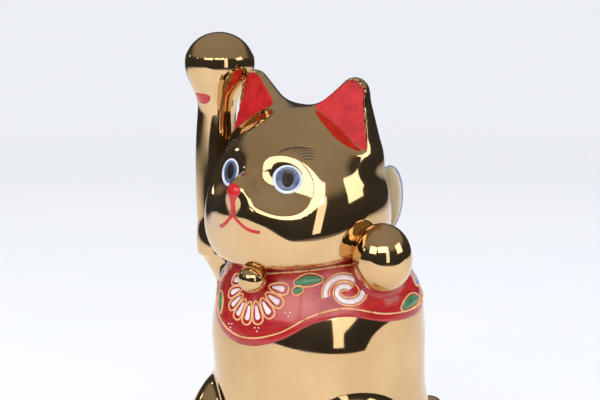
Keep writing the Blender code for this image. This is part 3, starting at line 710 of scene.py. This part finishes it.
def build_leaves():
    for name, centre, start, end, width, bow in (
            ("leaf_by_bell", (31.5, 0.1364), (-0.0080, -0.0010), (0.0075, 0.0010), 0.0024, 0.05),
            ("leaf_bud", (25.0, 0.1322), (-0.0027, -0.0008), (0.0027, 0.0008), 0.0015, 0.0),
            ("leaf_side_left", (93.0, 0.1215), (-0.0080, -0.0010), (0.0080, 0.0015), 0.0028, 0.1),
            ("leaf_front_right", (-34.0, 0.1180), (-0.0050, 0.0050), (0.0045, -0.0040), 0.0024, 0.1),
            ("leaf_side_right", (-112.0, 0.1270), (-0.0070, 0.0000), (0.0070, 0.0010), 0.0026, 0.1)):
        path = line_between(start, end, 22, bow)
        widths = leaf_widths(22, width)
        on_bib(name + "_green", chest_strip(centre, path, widths), 0.0005, "green", name)
        edges = path_strip(path, widths + 0.0007, 2, False)
        outline = spline(np.concatenate([edges[:, 0], edges[::-1, 1]]), 72, True)
        on_bib(name + "_piping", chest_strip(centre, outline, FINE_PIPE, 5, True), PIPING, "peach",
               None, True)


def build_blossoms():
    """Five-lobed blue rings with a piped outline and a piped heart."""
    t = np.arange(60) / 60.0 * 2.0 * math.pi
    circle = np.stack([np.cos(t), np.sin(t)], -1)
    radius = 0.0040 + 0.0011 * np.cos(5.0 * t)
    for label, angle in (("left", 110.0), ("right", -53.0)):
        centre = (angle, 0.1330)
        on_bib("blossom_%s_blue" % label, chest_strip(centre, radius[:, None] * circle, 0.0012, 7, True),
               0.0006, "blue", "blossom_blue_" + label, True)
        rim = (radius + 0.0017)[:, None] * circle
        on_bib("blossom_%s_piping" % label, chest_strip(centre, rim, FINE_PIPE, 5, True), PIPING, "peach",
               None, True)
        on_bib("blossom_%s_heart" % label, chest_strip(centre, 0.0011 * circle, 0.0007, 5, True), 0.0006,
               "peach", None, True)


def build_dots():
    """White dots in threes, at (angle, height) places between the motifs."""
    places = ((-16.0, 0.1106), (3.4, 0.1118), (20.6, 0.1208), (73.0, 0.1295), (-66.0, 0.1185),
              (-96.0, 0.1260), (134.0, 0.1330), (166.0, 0.1360), (-150.0, 0.1360))
    for n, (angle, height) in enumerate(places):
        side = np.array((math.cos(math.radians(angle)), math.sin(math.radians(angle)), 0.0))
        for k, (u, v) in enumerate(((-0.0011, 0.0005), (0.0010, 0.0008), (0.0004, -0.0010))):
            spot = chest(angle + np.degrees(u / BIB_MEAN_RADIUS), height + v)
            dome_piece("dot_%d_%d" % (n, k), torso, spot, side, (0.0, 0.0, 1.0), (0.00042, 0.00042), 0.0004,
                       "white", lift=ENAMEL, segments=12)


def build_eye(side, label):
    """Pale ring, iris and pupil, each a drop of enamel of its own."""
    centre = np.array((0.0200 * side, -0.0535, 0.1905))
    across = np.array((0.97 * side, 0.25, 0.0))
    up = np.array((0.0, 0.12, 0.99))
    t = np.arange(48) / 48.0 * 2.0 * math.pi
    ring = [centre + r * (np.cos(t)[:, None] * across + 0.90 * np.sin(t)[:, None] * up)
            for r in np.linspace(0.0072, 0.0056, 7)]
    relief("eye_%s_ring" % label, head, np.stack(ring, 1), 0.0005, FINISH["ring"], "eye_ring_" + label,
           loop=True, edge=0.2)
    dome_piece("eye_%s_iris" % label, head, centre, across, up, (0.0059, 0.0053), 0.0004, "iris",
               "eye_iris_" + label)
    dome_piece("eye_%s_pupil" % label, head, centre, across, up, (0.0029, 0.0038), 0.0004, "dark",
               "eye_pupil_" + label, lift=0.00035)


def build_ear_red(side, label):
    def red(p):
        """Enamel that fills the floor of the hollow and ends inside its walls."""
        m = p * np.array((side, 1.0, 1.0))
        layer = np.abs(m[..., 1] - ear_floor(m[..., 0], m[..., 2])) - 0.0009
        layer = np.maximum(layer, ear_foot(m))
        return -blend(-ear_outline(m) - 0.0009, -layer, 0.0006)

    low, high = sorted((-0.002 * side, 0.050 * side))
    casting("ear_%s_red" % label, red, (low, -0.036, EAR_FOOT - 0.012), (high, -0.005, 0.242), 0.0008,
            FINISH["ear"], "ear_enamel_" + label)


def build_nose_and_mouth():
    rows = []
    outline = ((0.1888, 0.0010), (0.1882, 0.0030), (0.1866, 0.0046), (0.1840, 0.0050), (0.1818, 0.0034),
               (0.1798, 0.0020), (0.1765, 0.0016), (0.1718, 0.0017))
    for height, half in spline(outline, 28):
        rows.append([(s * half, -0.070, height) for s in np.linspace(-1.0, 1.0, 9)])
    relief("nose_red", head, rows, 0.0007, FINISH["red"], "nose_enamel")
    rows = []
    for x in np.linspace(-0.0100, 0.0120, 45):
        height = 0.1722 - 0.0070 * math.sin(0.5 * math.pi * min(1.0, abs(x) / 0.0112))
        half = 0.0012 - 0.0003 * abs(x) / 0.0120
        rows.append([(x, -0.068 + 40.0 * x * x, height + s) for s in np.linspace(half, -half, 7)])
    relief("mouth_red", head, rows, 0.0005, FINISH["red"], "mouth_enamel")


def brush_line(name, path, half_width, blunt, side, depth):
    """Thin painted line on the head along an (x, z) path, for the +X side or mirrored."""
    strip = path_strip(path, half_width * leaf_widths(16, 1.0, blunt), 5, False)
    rows = np.stack([strip[..., 0] * side, np.full(strip.shape[:2], depth), strip[..., 1]], -1)
    relief(name, head, rows, 0.0002, FINISH["brow"])


def build_brow(side, label):
    """Nine hairs that sweep up and out from over the eye, and a line at the eye's inner corner."""
    lengths = (0.0080, 0.0110, 0.0145, 0.0170, 0.0180, 0.0170, 0.0150, 0.0125, 0.0095)
    for n, length in enumerate(lengths):
        start = math.radians(126.0 - 8.5 * n)
        foot = np.array((0.0200 + 0.0140 * math.cos(start), 0.1905 + 0.0135 * math.sin(start)))
        turn = np.radians(np.linspace(62.0 - 2.0 * n, 14.0 - 1.5 * n, 16))
        steps = np.stack([np.cos(turn), np.sin(turn)], -1) * 1.15 * length / 16.0
        brush_line("brow_%s_%d" % (label, n), foot + np.cumsum(steps, axis=0), 0.00048, 0.25, side, -0.050)
    corner = spline(((0.0103, 0.1965), (0.0112, 0.1925), (0.0128, 0.1885), (0.0142, 0.1860)), 16)
    brush_line("eye_%s_corner" % label, corner, 0.00028, 0.3, side, -0.062)


def build_face():
    for side, label in SIDES:
        build_eye(side, label)
        build_ear_red(side, label)
    build_nose_and_mouth()
    for side, label in SIDES:
        build_brow(side, label)
    dome_piece("wrist_red", raised_arm, (-0.0600, -0.0222, 0.2225), (0.95, -0.3, 0.0), (0.0, 0.0, 1.0),
               (0.0062, 0.0038), 0.0004, "red", "wrist_mark")


def build_bell():
    """Plain round bell."""
    rings, segments = 40, 64
    a = math.pi * np.arange(1, rings) / rings
    t = 2.0 * math.pi * np.arange(segments) / segments
    ball = np.stack([np.sin(a)[:, None] * np.cos(t), np.sin(a)[:, None] * np.sin(t),
                     np.cos(a)[:, None] + 0.0 * t], -1).reshape(-1, 3)
    unit = np.concatenate([[(0.0, 0.0, 1.0)], ball, [(0.0, 0.0, -1.0)]])
    last = len(unit) - 1
    faces = []
    for i in range(segments):
        j = (i + 1) % segments
        faces.append((0, 1 + i, 1 + j))
        for r in range(rings - 2):
            low, high = 1 + r * segments, 1 + (r + 1) * segments
            faces.append((low + i, high + i, high + j, low + j))
        faces.append((last, last - segments + j, last - segments + i))
    add_piece("bell_ball", unit * BELL_RADIUS + np.array(BELL_CENTRE), faces, FINISH["gold"], "bell", unit)


def build_bow():
    """Bow behind the neck, in cream with blue edges: knot, loops leaning on the head, ribbon ends."""
    neck = chest(180.0, BOW_HEIGHT - 0.006)[1] + 0.0024
    build_knot(np.array((0.0, neck + 0.0045, BOW_HEIGHT)))
    lean, tilt = math.radians(24.0), math.radians(-22.0)
    turn = np.array([[math.cos(tilt), 0, -math.sin(tilt)], [0, 1, 0], [math.sin(tilt), 0, math.cos(tilt)]])
    tip = np.array([[1, 0, 0], [0, math.cos(lean), -math.sin(lean)], [0, math.sin(lean), math.cos(lean)]])
    centre = np.array((0.0130, neck - 0.0066, BOW_HEIGHT + 0.0310))
    for side, label in SIDES:
        build_bow_loop(side, label, centre, tip @ turn)
        build_ribbon(side, "bow_tail_%s_cream" % label, 0.0, 1.0, 0.0016, "cream", 0.0, "bow_tail_" + label)
        build_ribbon(side, "bow_tail_%s_blue" % label, 0.72, 0.22, 0.0003, "blue", 0.0015)


def build_knot(middle):
    """Knot with three upright creases."""
    def knot(p):
        f = ellipsoid(p, middle, (0.0065, 0.0048, 0.0060))
        for x in (-0.0030, 0.0, 0.0030):
            top = middle + np.array((x, 0.0053, 0.006))
            foot = middle + np.array((x * 1.3, 0.0053, -0.006))
            f = carve(f, limb(p, top, foot, 0.0008, 0.0008), 0.0012)
        return f

    reach = np.array((0.010, 0.010, 0.010))
    casting("bow_knot_cream", knot, middle - reach, middle + reach, 0.0007, FINISH["cream"], "bow_knot")


def build_bow_loop(side, label, centre, place):
    """Flattened loop with a hollow in its face and a blue edge."""
    mirror = np.array((side, 1.0, 1.0))

    def loop(p):
        q = (p * mirror - centre) @ place
        f = ellipsoid(q, (0, 0, 0), (0.0085, 0.0038, 0.0230))
        f = carve(f, ellipsoid(q, (0.0, 0.0042, 0.0030), (0.0050, 0.0026, 0.0165)), 0.0015)
        return carve(f, limb(q, (0, 0.0036, -0.020), (0, 0.0052, 0.004), 0.0006, 0.0004), 0.0012)

    reach = np.array((0.018, 0.016, 0.026))
    middle = centre * mirror
    casting("bow_loop_%s_cream" % label, loop, middle - reach, middle + reach, 0.0010, FINISH["cream"],
            "bow_loop_" + label)
    t = np.arange(64) / 64.0 * 2.0 * math.pi
    rows = []
    for depth in np.linspace(-0.0007, 0.0007, 5):
        q = np.stack([0.0085 * np.cos(t), depth + 0.0 * t, 0.0230 * np.sin(t)], -1)
        rows.append((q @ place.T + centre) * mirror)
    relief("bow_loop_%s_blue" % label, loop, np.stack(rows, 1), 0.0003, FINISH["blue"], loop=True)


def build_ribbon(side, name, offset, share, thickness, finish, lift, node=None):
    """Ribbon end on the back, or a stripe on it; offset and share are parts of its half width."""
    rows = []
    for t in np.linspace(0.0, 1.0, 30):
        half = math.degrees((0.0030 + 0.0030 * t) / BIB_MEAN_RADIUS)
        middle = 180.0 - side * (13.0 + 14.0 * t) + side * offset * half
        angles = middle + half * share * np.linspace(-1.0, 1.0, 11)
        rows.append(chest(angles, BOW_HEIGHT - 0.0045 - 0.034 * t))
    relief(name, torso, rows, thickness, FINISH[finish], node, lift=0.0012 + lift, edge=0.6)


def build_floor():
    """Pale floor with a straight table edge, which fades out at its rim."""
    rings = (0.1, 0.2, 0.35, 0.48, 0.7, 0.9, 1.2, 1.4, 1.7)
    segments = 180
    points = [(0.0, 0.0, 0.0)]
    towards = np.array((math.sin(math.radians(60.0)), -math.cos(math.radians(60.0))))
    for r in rings:
        for t in 2.0 * math.pi * np.arange(segments) / segments:
            spot = r * np.array((math.cos(t), math.sin(t)))
            past = max(spot @ towards / TABLE_EDGE, 1.0)
            points.append((spot[0] / past, spot[1] / past, 0.0))
    faces = []
    for i in range(segments):
        j = (i + 1) % segments
        faces.append((0, 1 + i, 1 + j))
        for k in range(len(rings) - 1):
            low, high = 1 + k * segments, 1 + (k + 1) * segments
            faces.append((low + i, high + i, high + j, low + j))
    mat, tree, shader, place = new_finish("floor_finish", (0.86, 0.87, 0.89), 0.55)
    colour = ramp(tree, noise(tree, place, 3.0, 2.0), (0.85, 0.86, 0.88), (0.88, 0.885, 0.90))
    tree.links.new(colour, shader.inputs["Base Color"])
    away = tree.nodes.new("ShaderNodeVectorMath")
    away.operation = "LENGTH"
    tree.links.new(place, away.inputs[0])
    tree.links.new(spread(tree, away.outputs["Value"], 1.0, 0.0, (1.0, 1.6)), shader.inputs["Alpha"])
    mesh = bpy.data.meshes.new("floor")
    mesh.from_pydata(points, [], faces)
    mesh.materials.append(mat)
    floor = bpy.data.objects.new("floor", mesh)
    bpy.context.scene.collection.objects.link(floor)
    floor.location.z = CAD_BOX[0][2] - 0.0002


def build_room():
    """Pale surroundings, and the darker room that the lustre mirrors, by height from floor to ceiling."""
    world = bpy.data.worlds.new("studio")
    bpy.context.scene.world = world
    world.use_nodes = True
    tree = world.node_tree
    background = tree.nodes["Background"]
    place = tree.nodes.new("ShaderNodeTexCoord").outputs["Generated"]
    apart = tree.nodes.new("ShaderNodeSeparateXYZ")
    tree.links.new(place, apart.inputs["Vector"])
    room = tree.nodes.new("ShaderNodeValToRGB")
    stops = room.color_ramp.elements
    stops[0].position = 0.50
    stops[0].color = (0.040, 0.042, 0.045, 1.0)
    stops[1].position = 1.0
    stops[1].color = (0.36, 0.35, 0.33, 1.0)
    for at, colour in ((0.30, (0.70, 0.72, 0.75, 1.0)), (0.38, (0.035, 0.034, 0.036, 1.0)),
                       (0.66, (0.06, 0.058, 0.055, 1.0)), (0.74, (0.30, 0.29, 0.27, 1.0))):
        stop = stops.new(at)
        stop.color = colour
    height = spread(tree, apart.outputs["Z"], 0.0, 1.0, (-1.0, 1.0))
    tree.links.new(height, room.inputs["Fac"])
    rays = tree.nodes.new("ShaderNodeLightPath")
    soft = mix(tree, rays.outputs["Is Glossy Ray"], (0.84, 0.86, 0.91), room.outputs["Color"])
    tree.links.new(soft, background.inputs["Color"])


def area_light(name, location, width, height, energy):
    data = bpy.data.lights.new(name, "AREA")
    data.shape = "RECTANGLE"
    data.size = width
    data.size_y = height
    data.energy = energy
    light = bpy.data.objects.new(name, data)
    bpy.context.scene.collection.objects.link(light)
    light.location = location
    light.visible_camera = False
    return light


def window(name, azimuth, elevation, width, height, radiance):
    """Soft light that stands in a direction and faces the cat; sizes in degrees."""
    a, e = math.radians(azimuth), math.radians(elevation)
    away = Vector((math.sin(a) * math.cos(e), -math.cos(a) * math.cos(e), math.sin(e)))
    wide, tall = (2.0 * WINDOW_DISTANCE * math.tan(math.radians(angle) / 2.0) for angle in (width, height))
    location = away * WINDOW_DISTANCE + Vector((0.0, 0.0, 0.15))
    light = area_light(name, location, wide, tall, radiance * math.pi * wide * tall)
    light.rotation_euler = away.to_track_quat("Z", "Y").to_euler()


def build_lights():
    """A softbox that doesn't show in the lustre, and the windows and lamps that do."""
    softbox = area_light("softbox_top", (0.0, -0.2, 2.0), 2.2, 2.2, 14.0)
    softbox.visible_glossy = False
    window("window_left", -2.0, 25.0, 28.0, 20.0, 2.4)
    window("window_right", 40.0, 29.0, 38.0, 18.0, 2.4)
    window("window_tall", 58.0, 8.0, 11.0, 32.0, 1.5)
    window("window_side", 111.0, 22.0, 26.0, 22.0, 2.0)
    window("lamp_a", -43.0, 17.0, 5.0, 5.0, 3.0)
    window("lamp_b", -86.0, 17.0, 5.0, 5.0, 3.0)


def build_camera():
    """Camera that looks at the cat's head and chest from the front left, a little from above."""
    a, e = math.radians(VIEW_AZIMUTH), math.radians(VIEW_ELEVATION)
    back = Vector((math.sin(a) * math.cos(e), -math.cos(a) * math.cos(e), math.sin(e)))
    right = Vector((math.cos(a), math.sin(a), 0.0))
    up = back.cross(right)
    aim = Vector((0.0, 0.0, 0.135)) - right * 0.0099 + up * 0.0345
    data = bpy.data.cameras.new("camera")
    data.sensor_width = 36.0
    data.lens = 36.0 * VIEW_DISTANCE / VIEW_WIDTH
    data.clip_start = 0.05
    camera = bpy.data.objects.new("camera", data)
    bpy.context.scene.collection.objects.link(camera)
    turn = Matrix((right, up, back)).transposed()
    camera.matrix_world = Matrix.Translation(aim + back * VIEW_DISTANCE) @ turn.to_4x4()
    bpy.context.scene.camera = camera
    bpy.context.scene.view_settings.view_transform = "Standard"


build_castings()
build_bib()
build_chrysanthemum()
build_swirls()
build_leaves()
build_blossoms()
build_dots()
build_face()
build_bell()
build_bow()
build_floor()
build_room()
build_lights()
build_camera()
